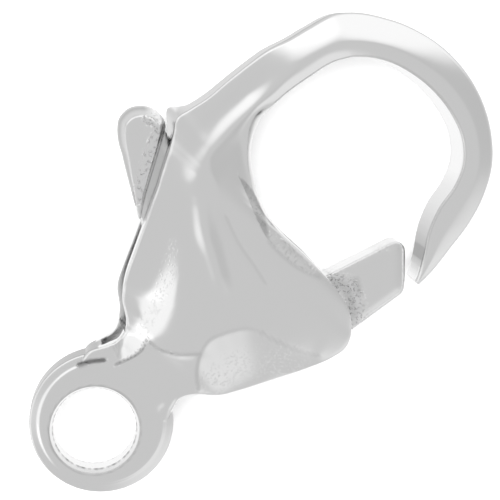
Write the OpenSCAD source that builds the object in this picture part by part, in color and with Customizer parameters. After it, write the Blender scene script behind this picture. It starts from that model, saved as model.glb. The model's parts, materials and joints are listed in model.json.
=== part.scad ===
// Lobster clasp: a hollow cast claw with a bail ring, and a sprung lever
// that carries the thumb tab at one end and the gate at the other.
// +X runs from the bail ring to the hook, +Y towards the thumb tab,
// +Z up from the mid plane. The origin is the centre of the bail's hole.

/* [Bail ring] */
// Radius of the hole in the bail ring
bail_bore_r = 1.40; // [1.1:0.05:1.5]
// Outer radius of the bail ring
bail_outer_r = 2.42; // [2.2:0.01:2.6]
// Thickness of the bail ring
bail_thickness = 1.20; // [1.0:0.02:1.5]
// How far the hole sits behind the centre of the outer circle
bail_offset = 0.33; // [0.2:0.01:0.45]
// Width of the bevel round the outer edge of the ring
bail_bevel = 0.34; // [0.2:0.02:0.45]
// Depth of that bevel below the ring's faces
bail_bevel_depth = 0.20; // [0.1:0.01:0.4]
// Chamfer at the two mouths of the hole
bail_lip = 0.12; // [0.05:0.01:0.15]

/* [Claw] */
// Length from the hole's centre to the far side of the hook
claw_length = 17.22; // [16:0.02:19]
// Width from the under side of the nose to the claw's highest corner
claw_width = 9.70; // [9:0.05:10.5]
// Thickness of the neck between the ring and the belly
neck_thickness = 1.90; // [1.7:0.02:2.2]
// Greatest thickness of the belly
belly_thickness = 3.30; // [3.0:0.05:3.8]
// Thickness of the hook's arm, front to back
hook_thickness = 2.20; // [1.9:0.05:2.5]
// Width of the hook's arm at the top of the eye
hook_arm = 1.50; // [1.3:0.02:1.7]

/* [Slot] */
// Play between the lever and each wall of the slot
slot_play = 0.10; // [0.06:0.01:0.16]
// Thickness of each cheek at the rim of the slot
rim_wall = 0.50; // [0.4:0.01:0.6]
// Height of the slot's shallow end on the neck
run_out_height = 0.80; // [0.6:0.02:1.0]

/* [Lever] */
// Thickness of the lever and its gate
lever_thickness = 1.10; // [0.9:0.02:1.3]
// Radius of the lever's boss round the pin
boss_r = 1.25; // [1.1:0.05:1.4]
// Opening between the gate's end and the nose, at the under side
gate_gap = 0.30; // [0.2:0.02:0.5]
// How much wider that opening is at its end in the eye
gate_spread = 0.42; // [0.2:0.02:0.5]
// Radius of the corners at the gate's end
gate_corner = 0.32; // [0.1:0.01:0.4]

/* [Thumb tab] */
// Thickness of the thumb tab across its flat faces
tab_thickness = 2.10; // [1.8:0.05:2.4]
// Length of the tab along the back of the cheeks
tab_length = 3.60; // [3.2:0.05:3.8]
// How far the tab stands out beyond its foot
tab_stand = 1.58; // [1.3:0.02:2.0]
// Gap between the thick part of the tab and the cheeks
tab_play = 0.15; // [0.1:0.01:0.25]

/* [Pivot pin] */
// Radius of the pivot pin
pin_r = 0.50; // [0.4:0.02:0.6]
// Running clearance of the lever on the pin, on the radius
pin_play = 0.04; // [0.03:0.01:0.08]
// Clearance of the pin in the cheeks, on the radius
pin_seat = 0.02; // [0.01:0.01:0.03]
// Metal left over the pin's blind end in the front cheek
pin_cover = 0.35; // [0.25:0.05:0.5]
// Depth of the pin's end below the back cheek's face
pin_sink = 0.06; // [0.02:0.02:0.12]

/* [Hidden] */
round_steps = 64;
corner_steps = 5;
overcut = 1;

slot_half = lever_thickness / 2 + slot_play;

// Sections of the claw run across it from the outer rail, which is its back
// on the tab's side, to the inner rail, which is the belly's under side and
// then the edge of the eye. Places are shares of claw_length and claw_width.

// Neck. Columns: outer x, outer y, inner x, inner y,
// rise from the ring's thickness to the neck's,
// outer and inner edge as shares of the crest, crest place across, how far the
// back cheek stands out beyond the front one as a share of the section's width
neck_rows = [
    [0.0755, 0.201, 0.0900, -0.167, -0.20, 0.90, 0.92, 0.50, 0],
    [0.1045, 0.210, 0.1132, -0.160, 0.12, 0.90, 0.92, 0.50, 0],
    [0.1388, 0.182, 0.1365, -0.144, 0.50, 0.85, 0.92, 0.50, 0.02],
    [0.1655, 0.166, 0.1614, -0.134, 0.85, 0.82, 0.92, 0.50, 0.06],
];

// Belly. Columns: outer x, outer y, inner x, inner y, share of belly_thickness,
// outer and inner edge above the slot's wall in rim walls, crest place across,
// power of the inner side's fall, the back cheek's spread as for the neck
belly_rows = [
    [0.198, 0.190, 0.192, -0.162, 0.64, 0.50, 0.7, 0.40, 2.5, 0.085],
    [0.226, 0.256, 0.218, -0.221, 0.76, 0.62, 0.4, 0.38, 4.0, 0.050],
    [0.263, 0.308, 0.253, -0.266, 0.86, 0.80, 0.1, 0.36, 3.4, 0.012],
    [0.317, 0.355, 0.308, -0.319, 0.94, 1.05, 0, 0.34, 3.2, 0],
    [0.371, 0.399, 0.363, -0.356, 0.98, 1.20, 0.9, 0.31, 3.2, 0],
    [0.403, 0.426, 0.418, -0.392, 0.99, 1.22, 1.35, 0.29, 3.3, 0],
    [0.428, 0.446, 0.460, -0.403, 1.00, 1.20, 1.5, 0.28, 3.4, 0],
    [0.449, 0.466, 0.492, -0.373, 1.00, 1.20, 1.55, 0.28, 3.4, 0],
    [0.468, 0.483, 0.514, -0.318, 0.99, 1.18, 1.7, 0.28, 3.4, 0],
    [0.486, 0.499, 0.528, -0.225, 0.98, 1.16, 1.7, 0.29, 3.6, 0],
    [0.502, 0.514, 0.533, -0.115, 0.96, 1.16, 1.6, 0.31, 3.8, 0],
    [0.521, 0.534, 0.531, 0.012, 0.93, 1.16, 1.5, 0.33, 3.8, 0.015],
    [0.546, 0.560, 0.538, 0.125, 0.89, 1.10, 1.3, 0.37, 3.4, 0.060],
    [0.576, 0.549, 0.562, 0.218, 0.84, 0.96, 1.05, 0.46, 2.8, 0],
    [0.616, 0.532, 0.604, 0.308, 0.78, 0.80, 0.65, 0.59, 2.2, 0],
    [0.666, 0.523, 0.652, 0.351, 0.72, 0.58, 0.35, 0.70, 1.8, 0],
];

// Hook. Columns: outer x, outer y, share of hook_arm, share of hook_thickness,
// outer and inner edge as shares of the crest, crest place across
hook_rows = [
    [0.712, 0.513, 1.03, 1.03, 0.82, 0.83, 0.72],
    [0.757, 0.500, 1.00, 1.01, 0.78, 0.83, 0.68],
    [0.801, 0.475, 0.94, 1.00, 0.68, 0.83, 0.60],
    [0.845, 0.455, 0.92, 1.00, 0.60, 0.83, 0.62],
    [0.893, 0.427, 0.99, 1.00, 0.56, 0.84, 0.64],
    [0.930, 0.370, 0.96, 1.00, 0.56, 0.86, 0.66],
    [0.958, 0.298, 0.91, 1.00, 0.58, 0.88, 0.66],
    [0.982, 0.212, 0.89, 1.00, 0.64, 0.89, 0.66],
    [0.998, 0.105, 0.88, 1.00, 0.74, 0.90, 0.64],
    [1.000, -0.010, 0.84, 0.99, 0.82, 0.90, 0.58],
    [0.986, -0.128, 0.77, 0.97, 0.87, 0.90, 0.54],
    [0.956, -0.238, 0.69, 0.95, 0.87, 0.90, 0.52],
    [0.911, -0.330, 0.68, 0.93, 0.87, 0.90, 0.50],
    [0.855, -0.388, 0.72, 0.91, 0.87, 0.90, 0.50],
    [0.797, -0.421, 0.79, 0.88, 0.87, 0.90, 0.50],
    [0.742, -0.435, 0.65, 0.84, 0.87, 0.90, 0.50],
    [0.696, -0.447, 0.40, 0.80, 0.88, 0.90, 0.50],
    [0.660, -0.451, 0.19, 0.74, 0.90, 0.90, 0.50],
    [0.646, -0.450, 0.12, 0.70, 0.90, 0.90, 0.50],
];

// How a face falls from its crest to its outer and its inner edge, as powers
neck_fall = [3.0, 3.0];
belly_outer_fall = 1.3;
hook_fall = [1.3, 2.0];

// A place given as shares of the claw's length and width
function place(p) = [p[0] * claw_length, p[1] * claw_width];

// A smooth curve through the rows of a table, read at row number t
function row_at(rows, t) =
    let (
        last = len(rows) - 1,
        i = min(floor(t), last - 1),
        f = t - i,
        a = rows[max(i - 1, 0)],
        b = rows[i],
        c = rows[i + 1],
        d = rows[min(i + 2, last)]
    )
    b + 0.5 * f * ((c - a) + f * ((2 * a - 5 * b + 4 * c - d) + f * (3 * (b - c) + d - a)));

// Sections in millimetres: outer x, outer y, inner x, inner y, crest,
// outer edge, inner edge, crest place across, powers of the outer and inner fall,
// the back cheek's spread
neck_sections = [
    for (r = neck_rows)
        let (
            a = place([r[0], r[1]]),
            b = place([r[2], r[3]]),
            crest = (bail_thickness + (neck_thickness - bail_thickness) * r[4]) / 2
        )
        [a[0], a[1], b[0], b[1], crest, crest * r[5], crest * r[6], r[7], each neck_fall, r[8]]
];

belly_sections = [
    for (r = belly_rows)
        let (a = place([r[0], r[1]]), b = place([r[2], r[3]]))
        [
            a[0], a[1], b[0], b[1],
            r[4] * belly_thickness / 2,
            slot_half + r[5] * rim_wall,
            slot_half + r[6] * rim_wall,
            r[7],
            belly_outer_fall,
            r[8],
            r[9]
        ]
];

// The inward normal of the hook's outer rail at row i
function hook_inward(i) =
    let (
        last = len(hook_rows) - 1,
        a = place(hook_rows[max(i - 1, 0)]),
        b = place(hook_rows[min(i + 1, last)]),
        along = (b - a) / norm(b - a)
    )
    [along[1], -along[0]];

hook_sections = [
    for (i = [0 : len(hook_rows) - 1])
        let (
            r = hook_rows[i],
            a = place(r),
            b = a + hook_inward(i) * r[2] * hook_arm,
            crest = r[3] * hook_thickness / 2
        )
        [a[0], a[1], b[0], b[1], crest, crest * r[4], crest * r[5], r[6], each hook_fall, 0]
];

claw_sections = concat(neck_sections, belly_sections, hook_sections);
section_count = len(claw_sections);
steps_per_row = 2;

// Height of a section's face above the mid plane, across = 0 at the outer rail
// and 1 at the inner rail. It falls from the crest to each edge as a power of
// the share of the way to that edge.
function face_height(s, across) =
    across < s[7]
    ? s[4] + (s[5] - s[4]) * pow((s[7] - across) / s[7], s[8])
    : s[4] + (s[6] - s[4]) * pow((across - s[7]) / (1 - s[7]), s[9]);

// Places across a section, closer together near its two edges
face_steps = 10;
face_places = [for (k = [0 : face_steps]) (1 - cos(180 * k / face_steps)) / 2];

function section_point(s, across, z) =
    [s[0] + (s[2] - s[0]) * across, s[1] + (s[3] - s[1]) * across, z];

// One closed loop round a section: the back face, then the front face. The back
// face is drawn out beyond the outer rail by its spread, less and less across.
function section_loop(s) = concat(
    [for (u = face_places)
        section_point(s, u - s[10] * pow(1 - u, 3), -face_height(s, u))],
    [for (k = [face_steps : -1 : 0])
        section_point(s, face_places[k], face_height(s, face_places[k]))]
);

claw_steps = (section_count - 1) * steps_per_row;
claw_loops = [
    for (k = [0 : claw_steps]) section_loop(row_at(claw_sections, k / steps_per_row))
];

// The pin stands where the belly is widest and thickest
pivot_row = 6.7;
pivot_across = 0.60;
pivot_section = row_at(claw_sections, pivot_row);
pivot = section_point(pivot_section, pivot_across, 0);
pivot_height = face_height(pivot_section, pivot_across);
pin_top = pivot_height - pin_cover;

// Pocket between the cheeks. Columns: x share, y share, corner radius as a share
// of claw_width. It is open along the back, where the tab stands out, and at the
// belly's corner, where the gate comes out and swings into the eye.
pocket_corners = [
    [0.182, 0.280, 0],
    [0.182, 0.165, 0.010],
    [0.200, 0.125, 0.021],
    [0.199, -0.060, 0.093],
    [0.260, -0.190, 0.082],
    [0.420, -0.300, 0.052],
    [0.449, -0.370, 0.041],
    [0.450, -0.520, 0],
    [0.640, -0.520, 0],
    [0.640, 0.045, 0],
    [0.490, 0.045, 0.062],
    [0.456, 0.200, 0.124],
    [0.515, 0.560, 0],
    [0.520, 0.680, 0],
    [0.360, 0.680, 0],
];

// Shallow end of the slot on the neck. Columns as for the pocket.
run_out_corners = [
    [0.120, 0.280, 0],
    [0.132, 0.170, 0.015],
    [0.160, 0.145, 0.021],
    [0.210, 0.125, 0],
    [0.210, 0.280, 0],
];

// The nose's inner wall, along which the gate's end lies
nose_tip = [for (k = [2, 3]) claw_sections[section_count - 1][k]];
nose_root = [for (k = [2, 3]) claw_sections[section_count - 3][k]];
nose_along = (nose_root - nose_tip) / norm(nose_root - nose_tip);
nose_out = [-nose_along[1], nose_along[0]];
gate_end_start = -0.05;
gate_end_length = 1.40;

function nose_side(along, out) = nose_tip + nose_along * along + nose_out * out;
function with_corner(p, r) = [p[0], p[1], r];
function placed_corner(c) = with_corner(place(c), c[2] * claw_width);

// Lever plate. Columns as for the pocket, in order from the tab's head down
// the arm's side by the eye, along the gate, and back by the boss to the foot.
plate_by_eye = [
    [0.505, 0.620, 0.015],
    [0.512, 0.545, 0.010],
    [0.428, 0.250, 0.155],
    [0.402, 0.020, 0.124],
    [0.520, -0.190, 0.155],
];
gate_bottom_end = place([0.616, -0.437]);
plate_by_belly = [
    [0.480, -0.397, 0.021],
    [0.461, -0.365, 0.031],
    [0.445, -0.310, 0.062],
    [0.310, -0.195, 0.103],
    [0.255, -0.060, 0.103],
    [0.335, 0.330, 0.155],
    [0.362, 0.415, 0.005],
];
plate_tab = [[0.470, 0.600, 0.021]];

// A corner of an outline replaced by an arc of its own radius. The arc takes
// up no more than edge_share of either of the two edges that meet there.
edge_share = 0.48;
function corner_arc(before, at, after, r) =
    let (
        d1 = (before - at) / norm(before - at),
        d2 = (after - at) / norm(after - at),
        half = acos(max(-1, min(1, d1 * d2))) / 2,
        reach = min(r / tan(half), edge_share * norm(before - at), edge_share * norm(after - at)),
        radius = reach * tan(half),
        mid = (d1 + d2) / norm(d1 + d2),
        centre = at + mid * radius / sin(half),
        start = at + d1 * reach - centre,
        turn = (d1[0] * d2[1] - d1[1] * d2[0] > 0 ? -1 : 1) * (180 - 2 * half)
    )
    [for (k = [0 : corner_steps])
        let (a = turn * k / corner_steps)
        centre + [start[0] * cos(a) - start[1] * sin(a), start[0] * sin(a) + start[1] * cos(a)]];

function rounded(corners) =
    let (count = len(corners))
    [for (i = [0 : count - 1])
        let (
            b = corners[(i + count - 1) % count],
            c = corners[i],
            a = corners[(i + 1) % count]
        )
        each (c[2] == 0
            ? [[c[0], c[1]]]
            : corner_arc([b[0], b[1]], [c[0], c[1]], [a[0], a[1]], c[2]))];

pocket_outline = rounded([for (c = pocket_corners) placed_corner(c)]);
run_out_outline = rounded([for (c = run_out_corners) placed_corner(c)]);
plate_outline = rounded(concat(
    [for (c = plate_by_eye) placed_corner(c)],
    [with_corner(nose_side(gate_end_length, gate_gap + gate_spread), gate_corner)],
    [with_corner(nose_side(gate_end_start, gate_gap), gate_corner)],
    [with_corner(gate_bottom_end, gate_corner)],
    [for (c = plate_by_belly) placed_corner(c)],
    [for (c = plate_tab) placed_corner(c)]
));

// Thumb tab. It stands on the straight stretch of the outer rail; along runs
// from its foot to its head, out away from the cheeks.
tab_foot_row = 7.95;
tab_head_row = 15.6;
tab_rail_foot = section_point(row_at(claw_sections, tab_foot_row), 0, 0);
tab_rail_head = section_point(row_at(claw_sections, tab_head_row), 0, 0);
tab_along = (tab_rail_head - tab_rail_foot) / norm(tab_rail_head - tab_rail_foot);
tab_out = [-tab_along[1], tab_along[0], 0];

// Outline of the tab. Columns: share of tab_length, share of tab_stand
tab_rows = [
    [-0.04, 0.00], [0.06, 0.16], [0.16, 0.30], [0.26, 0.44], [0.37, 0.59], [0.47, 0.72],
    [0.55, 0.84], [0.63, 0.93], [0.70, 0.98], [0.77, 1.00], [0.84, 0.95], [0.90, 0.85],
    [0.94, 0.70], [0.96, 0.52], [0.955, 0.34], [0.92, 0.17], [0.84, 0.03], [0.66, 0.00],
    [0.44, 0.00], [0.22, 0.00]
];
// Levels of the tab. Columns: share of half the thickness,
// share of the outline's length, share of its height
tab_levels = [
    [-1.00, 0.955, 0.78], [-0.86, 0.975, 0.88], [-0.50, 0.992, 0.965], [0.00, 1.00, 1.00],
    [0.50, 0.992, 0.965], [0.86, 0.975, 0.88], [1.00, 0.955, 0.78]
];

function tab_point(row, level) =
    tab_rail_foot
    + tab_along * row[0] * level[1] * tab_length
    + tab_out * (tab_play + row[1] * level[2] * tab_stand)
    + [0, 0, level[0] * tab_thickness / 2];

// The mean of a loop's points
function total(points, k = 0) = k == len(points) - 1 ? points[k] : points[k] + total(points, k + 1);
function middle(loop) = total(loop) / len(loop);

// A closed solid through loops of equal length, with a fan of faces at each end
module solid_loft(loops) {
    rings = len(loops);
    sides = len(loops[0]);
    first = rings * sides;
    polyhedron(
        points = concat(
            [for (loop = loops) each loop],
            [middle(loops[0]), middle(loops[rings - 1])]
        ),
        faces = [
            for (j = [0 : sides - 1])
                let (n = (j + 1) % sides)
                each [[first, n, j], [first + 1, (rings - 1) * sides + j, (rings - 1) * sides + n]],
            for (i = [0 : rings - 2]) for (j = [0 : sides - 1])
                let (a = i * sides, b = a + sides, n = (j + 1) % sides)
                each [[a + j, a + n, b + n], [a + j, b + n, b + j]]
        ],
        convexity = 10
    );
}

module claw_shell() {
    solid_loft(claw_loops);
}

// Flat ring with a bevelled outer edge, before its hole is drilled
module bail_disc() {
    half = bail_thickness / 2;
    translate([bail_offset, 0, 0])
        rotate_extrude($fn = round_steps)
            polygon([
                [0, -half],
                [bail_outer_r - bail_bevel, -half],
                [bail_outer_r, -half + bail_bevel_depth],
                [bail_outer_r, half - bail_bevel_depth],
                [bail_outer_r - bail_bevel, half],
                [0, half]
            ]);
}

// Hole with a small chamfer at each mouth
module bail_bore() {
    half = bail_thickness / 2;
    rotate_extrude($fn = round_steps)
        polygon([
            [0, -half - overcut],
            [bail_bore_r + bail_lip + overcut, -half - overcut],
            [bail_bore_r, -half + bail_lip],
            [bail_bore_r, half - bail_lip],
            [bail_bore_r + bail_lip + overcut, half + overcut],
            [0, half + overcut]
        ]);
}

module lever_pocket() {
    linear_extrude(2 * slot_half, center = true) polygon(pocket_outline);
}

module slot_run_out() {
    linear_extrude(run_out_height, center = true) polygon(run_out_outline);
}

module pin_hole_in_cheeks() {
    translate([pivot[0], pivot[1], -belly_thickness])
        cylinder(r = pin_r + pin_seat, h = belly_thickness + pin_top + pin_seat, $fn = round_steps);
}

module body() {
    color("silver")
        difference() {
            union() {
                claw_shell();
                bail_disc();
            }
            bail_bore();
            lever_pocket();
            slot_run_out();
            pin_hole_in_cheeks();
        }
}

module lever_plate() {
    linear_extrude(lever_thickness, center = true) polygon(plate_outline);
}

module lever_boss() {
    translate(pivot) cylinder(r = boss_r, h = lever_thickness, center = true, $fn = round_steps);
}

module thumb_tab() {
    solid_loft([for (level = tab_levels) [for (row = tab_rows) tab_point(row, level)]]);
}

module lever() {
    color("gainsboro")
        difference() {
            union() {
                lever_plate();
                lever_boss();
                thumb_tab();
            }
            translate(pivot)
                cylinder(
                    r = pin_r + pin_play,
                    h = lever_thickness + overcut,
                    center = true,
                    $fn = round_steps
                );
        }
}

module pivot_pin() {
    pin_bottom = -pivot_height + pin_sink;
    color("darkgray")
        translate([pivot[0], pivot[1], pin_bottom])
            cylinder(r = pin_r, h = pin_top - pin_bottom, $fn = round_steps);
}

body();
lever();
pivot_pin();
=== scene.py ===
"""Lobster clasp in polished silver: the finish of its casting, its lever and its pin.

+X runs from the bail ring to the hook, +Y towards the thumb tab, +Z up. Shapes are
worked out in millimetres and put into their meshes in metres.
"""
import json

import bmesh
import bpy
import numpy as np
from mathutils import Matrix, Vector


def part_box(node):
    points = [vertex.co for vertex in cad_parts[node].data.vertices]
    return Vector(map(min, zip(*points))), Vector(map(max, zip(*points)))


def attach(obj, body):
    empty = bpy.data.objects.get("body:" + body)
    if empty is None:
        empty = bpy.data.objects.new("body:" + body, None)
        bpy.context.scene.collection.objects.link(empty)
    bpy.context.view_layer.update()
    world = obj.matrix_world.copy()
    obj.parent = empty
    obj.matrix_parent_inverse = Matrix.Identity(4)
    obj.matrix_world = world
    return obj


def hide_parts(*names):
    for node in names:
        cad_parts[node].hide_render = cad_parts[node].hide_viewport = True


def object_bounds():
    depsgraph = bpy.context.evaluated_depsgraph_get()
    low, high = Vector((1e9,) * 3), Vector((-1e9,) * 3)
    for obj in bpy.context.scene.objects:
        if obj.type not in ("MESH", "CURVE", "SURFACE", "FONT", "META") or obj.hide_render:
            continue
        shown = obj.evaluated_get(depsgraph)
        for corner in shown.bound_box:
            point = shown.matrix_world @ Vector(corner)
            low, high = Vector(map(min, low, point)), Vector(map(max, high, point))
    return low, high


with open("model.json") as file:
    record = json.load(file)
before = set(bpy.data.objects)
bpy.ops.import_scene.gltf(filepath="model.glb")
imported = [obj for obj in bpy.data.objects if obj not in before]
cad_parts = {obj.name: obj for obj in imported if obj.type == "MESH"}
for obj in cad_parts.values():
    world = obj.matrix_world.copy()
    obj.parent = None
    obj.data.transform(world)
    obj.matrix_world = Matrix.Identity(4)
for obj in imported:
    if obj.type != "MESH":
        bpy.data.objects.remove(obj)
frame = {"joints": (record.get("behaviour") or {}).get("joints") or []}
cad_low, cad_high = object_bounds()

MM = 0.001
PIVOT = np.array(frame["joints"][0]["pos_m"]) / MM

# Bail ring
BAIL_BORE = 1.40
BAIL_OUTER = 2.42
BAIL_THICKNESS = 1.20
BAIL_OFFSET = 0.33
BAIL_BEVEL = 0.34
BAIL_LIP = 0.12
BAIL_LIP_DEPTH = 0.24

# Claw
CLAW_LENGTH = 17.22
CLAW_WIDTH = 9.70
NECK_THICKNESS = 1.90
BELLY_THICKNESS = 3.30
HOOK_THICKNESS = 2.20
HOOK_ARM = 1.50

# Slot and lever
LEVER_THICKNESS = 1.10
SLOT_HALF = LEVER_THICKNESS / 2 + 0.10
RUN_OUT_HALF = 0.40
RIM_WALL = 0.50
BOSS_R = 1.25
GATE_GAP = 0.30
GATE_SPREAD = 0.42
GATE_END_START = -0.05
GATE_END_LENGTH = 1.40
TAB_THICKNESS = 2.10
TAB_LENGTH = 3.60
TAB_STAND = 1.58
TAB_PLAY = 0.15
PIN_R = 0.50
PIN_PLAY = 0.04
PIN_SEAT = 0.02
PIN_COVER = 0.35

# Neck. Columns: outer x, outer y, inner x, inner y (shares of length and width), rise from
# the ring's thickness to the neck's, outer and inner edge as shares of the crest,
# crest place across, rounding of the outer and the inner edge in millimetres, how far the
# back cheek stands out beyond the front one as a share of the section's width
NECK_ROWS = [
    [0.0755, 0.201, 0.0900, -0.167, -0.20, 1.00, 0.97, 0.50, 0.10, 0.15, 0],
    [0.1045, 0.210, 0.1132, -0.160, 0.12, 1.00, 0.96, 0.50, 0.10, 0.15, 0],
    [0.1388, 0.182, 0.1365, -0.144, 0.50, 0.98, 0.95, 0.50, 0.10, 0.18, 0.02],
    [0.1655, 0.166, 0.1614, -0.134, 0.85, 0.97, 0.94, 0.50, 0.09, 0.18, 0.06],
]

# Belly. Columns: outer x, outer y, inner x, inner y, share of the belly's thickness,
# outer and inner edge above the slot's wall in rim walls, crest place across,
# power of the inner side's fall, rounding of the two edges, spread of the back cheek,
# width and drop of the bevel along the eye
BELLY_ROWS = [
    [0.198, 0.190, 0.192, -0.162, 0.64, 0.76, 0.7, 0.40, 2.5, 0.09, 0.16, 0.085, 0, 0],
    [0.226, 0.256, 0.218, -0.221, 0.76, 1.14, 0.4, 0.38, 4.0, 0.08, 0.12, 0.050, 0, 0],
    [0.263, 0.308, 0.253, -0.266, 0.86, 1.44, 0.1, 0.36, 3.4, 0.08, 0.10, 0.012, 0, 0],
    [0.317, 0.355, 0.308, -0.319, 0.94, 1.66, 0.0, 0.34, 3.2, 0.08, 0.08, 0, 0, 0],
    [0.371, 0.399, 0.363, -0.356, 0.98, 1.62, 0.9, 0.31, 3.2, 0.08, 0.08, 0, 0, 0],
    [0.403, 0.426, 0.418, -0.392, 0.99, 1.54, 1.4, 0.29, 3.3, 0.08, 0.08, 0, 0, 0],
    [0.428, 0.446, 0.460, -0.403, 1.00, 1.42, 1.62, 0.28, 3.4, 0.08, 0.07, 0, 0, 0],
    [0.449, 0.466, 0.492, -0.373, 1.00, 1.32, 1.65, 0.28, 3.4, 0.08, 0.06, 0, 0, 0],
    [0.468, 0.483, 0.514, -0.318, 0.99, 1.22, 1.75, 0.28, 3.4, 0.08, 0.06, 0, 0, 0],
    [0.486, 0.499, 0.528, -0.225, 0.98, 1.18, 1.75, 0.29, 3.6, 0.08, 0.06, 0, 0.03, 0.02],
    [0.502, 0.514, 0.533, -0.115, 0.96, 1.20, 1.65, 0.31, 3.8, 0.06, 0.05, 0, 0.34, 0.22],
    [0.521, 0.534, 0.531, 0.012, 0.93, 1.22, 1.55, 0.33, 3.8, 0.06, 0.05, 0.015, 0.46, 0.28],
    [0.546, 0.560, 0.538, 0.125, 0.89, 1.18, 1.35, 0.37, 3.4, 0.06, 0.05, 0.060, 0.32, 0.12],
    [0.576, 0.549, 0.562, 0.218, 0.84, 1.02, 1.10, 0.46, 2.8, 0.06, 0.05, 0, 0.30, 0.08],
    [0.616, 0.532, 0.604, 0.308, 0.78, 0.84, 0.65, 0.59, 2.2, 0.05, 0.06, 0, 0.12, 0.03],
    [0.666, 0.523, 0.652, 0.351, 0.72, 0.60, 0.35, 0.70, 1.8, 0.05, 0.06, 0, 0, 0],
]

# Hook. Columns: outer x, outer y, share of the hook's arm, share of its thickness,
# outer and inner edge as shares of the crest, crest place across, rounding of the two edges
HOOK_ROWS = [
    [0.712, 0.513, 1.03, 1.03, 0.82, 0.86, 0.72, 0.06, 0.06],
    [0.757, 0.500, 1.00, 1.01, 0.78, 0.86, 0.68, 0.08, 0.06],
    [0.801, 0.475, 0.94, 1.00, 0.68, 0.86, 0.60, 0.10, 0.08],
    [0.845, 0.455, 0.92, 1.00, 0.60, 0.86, 0.62, 0.10, 0.06],
    [0.893, 0.427, 0.99, 1.00, 0.56, 0.88, 0.64, 0.10, 0.06],
    [0.930, 0.370, 0.96, 1.00, 0.56, 0.90, 0.66, 0.10, 0.06],
    [0.958, 0.298, 0.91, 1.00, 0.58, 0.92, 0.66, 0.10, 0.06],
    [0.982, 0.212, 0.89, 1.00, 0.64, 0.93, 0.66, 0.10, 0.06],
    [0.998, 0.105, 0.88, 1.00, 0.75, 0.94, 0.64, 0.10, 0.05],
    [1.000, -0.010, 0.84, 0.99, 0.84, 0.94, 0.58, 0.10, 0.05],
    [0.986, -0.128, 0.77, 0.97, 0.90, 0.94, 0.54, 0.10, 0.05],
    [0.956, -0.238, 0.69, 0.95, 0.90, 0.94, 0.52, 0.10, 0.05],
    [0.911, -0.330, 0.68, 0.93, 0.90, 0.94, 0.50, 0.10, 0.05],
    [0.855, -0.388, 0.72, 0.91, 0.90, 0.94, 0.50, 0.10, 0.05],
    [0.797, -0.421, 0.79, 0.88, 0.90, 0.94, 0.50, 0.10, 0.05],
    [0.742, -0.435, 0.65, 0.84, 0.90, 0.94, 0.50, 0.08, 0.05],
    [0.696, -0.447, 0.40, 0.80, 0.90, 0.94, 0.50, 0.07, 0.05],
    [0.660, -0.451, 0.19, 0.74, 0.90, 0.94, 0.50, 0.06, 0.04],
    [0.646, -0.450, 0.12, 0.70, 0.90, 0.94, 0.50, 0.05, 0.04],
]

# How a face falls from its crest towards its outer and its inner edge, as powers
NECK_FALL = (3.0, 3.0)
BELLY_OUTER_FALL = 1.3
HOOK_FALL = (1.3, 2.0)

STEPS_PER_ROW = 10
FACE_STEPS = 82
EDGE_STEPS = 5
WALL_STEPS = 7
ROUND_STEPS = 160
CORNER_STEPS = 12
EDGE_SHARE = 0.48
CAST_SHARP_ANGLE = 32
PIN_SHARP_ANGLE = 40

# Pocket between the cheeks and the lever's outline. Columns: x share, y share, corner radius
POCKET_CORNERS = [
    [0.182, 0.280, 0],
    [0.182, 0.165, 0.10],
    [0.200, 0.125, 0.20],
    [0.199, -0.060, 0.90],
    [0.260, -0.190, 0.80],
    [0.420, -0.300, 0.50],
    [0.449, -0.370, 0.40],
    [0.450, -0.520, 0],
    [0.640, -0.520, 0],
    [0.640, 0.045, 0],
    [0.490, 0.045, 0.60],
    [0.456, 0.200, 1.20],
    [0.515, 0.560, 0],
    [0.520, 0.680, 0],
    [0.360, 0.680, 0],
]
RUN_OUT_CORNERS = [
    [0.120, 0.280, 0],
    [0.132, 0.170, 0.15],
    [0.160, 0.145, 0.20],
    [0.210, 0.125, 0],
    [0.210, 0.280, 0],
]
PLATE_BY_EYE = [
    [0.505, 0.620, 0.15],
    [0.512, 0.545, 0.10],
    [0.428, 0.250, 1.50],
    [0.402, 0.020, 1.20],
    [0.520, -0.190, 1.50],
]
GATE_BOTTOM_END = (0.616, -0.437)
GATE_CORNERS = (0.34, 0.40, 0.40)
PLATE_BY_BELLY = [
    [0.480, -0.397, 0.20],
    [0.461, -0.365, 0.30],
    [0.445, -0.310, 0.60],
    [0.310, -0.195, 1.00],
    [0.255, -0.060, 1.00],
    [0.335, 0.330, 1.50],
    [0.362, 0.415, 0.05],
    [0.470, 0.600, 0.20],
]


# Curves, outlines and meshes

def smooth_rows(rows, t):
    """Rows of a table read at the row numbers t: a Catmull-Rom curve through the rows."""
    rows = np.asarray(rows, float)
    last = len(rows) - 1
    i = np.minimum(np.floor(t).astype(int), last - 1)
    f = (t - i)[:, None]
    a, b = rows[np.maximum(i - 1, 0)], rows[i]
    c, d = rows[i + 1], rows[np.minimum(i + 2, last)]
    return b + 0.5 * f * ((c - a) + f * ((2 * a - 5 * b + 4 * c - d) + f * (3 * (b - c) + d - a)))


def place(corners):
    """Shares of the claw's length and width as millimetres; other columns stay."""
    corners = np.array(corners, float)
    corners[..., 0] *= CLAW_LENGTH
    corners[..., 1] *= CLAW_WIDTH
    return corners


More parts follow.
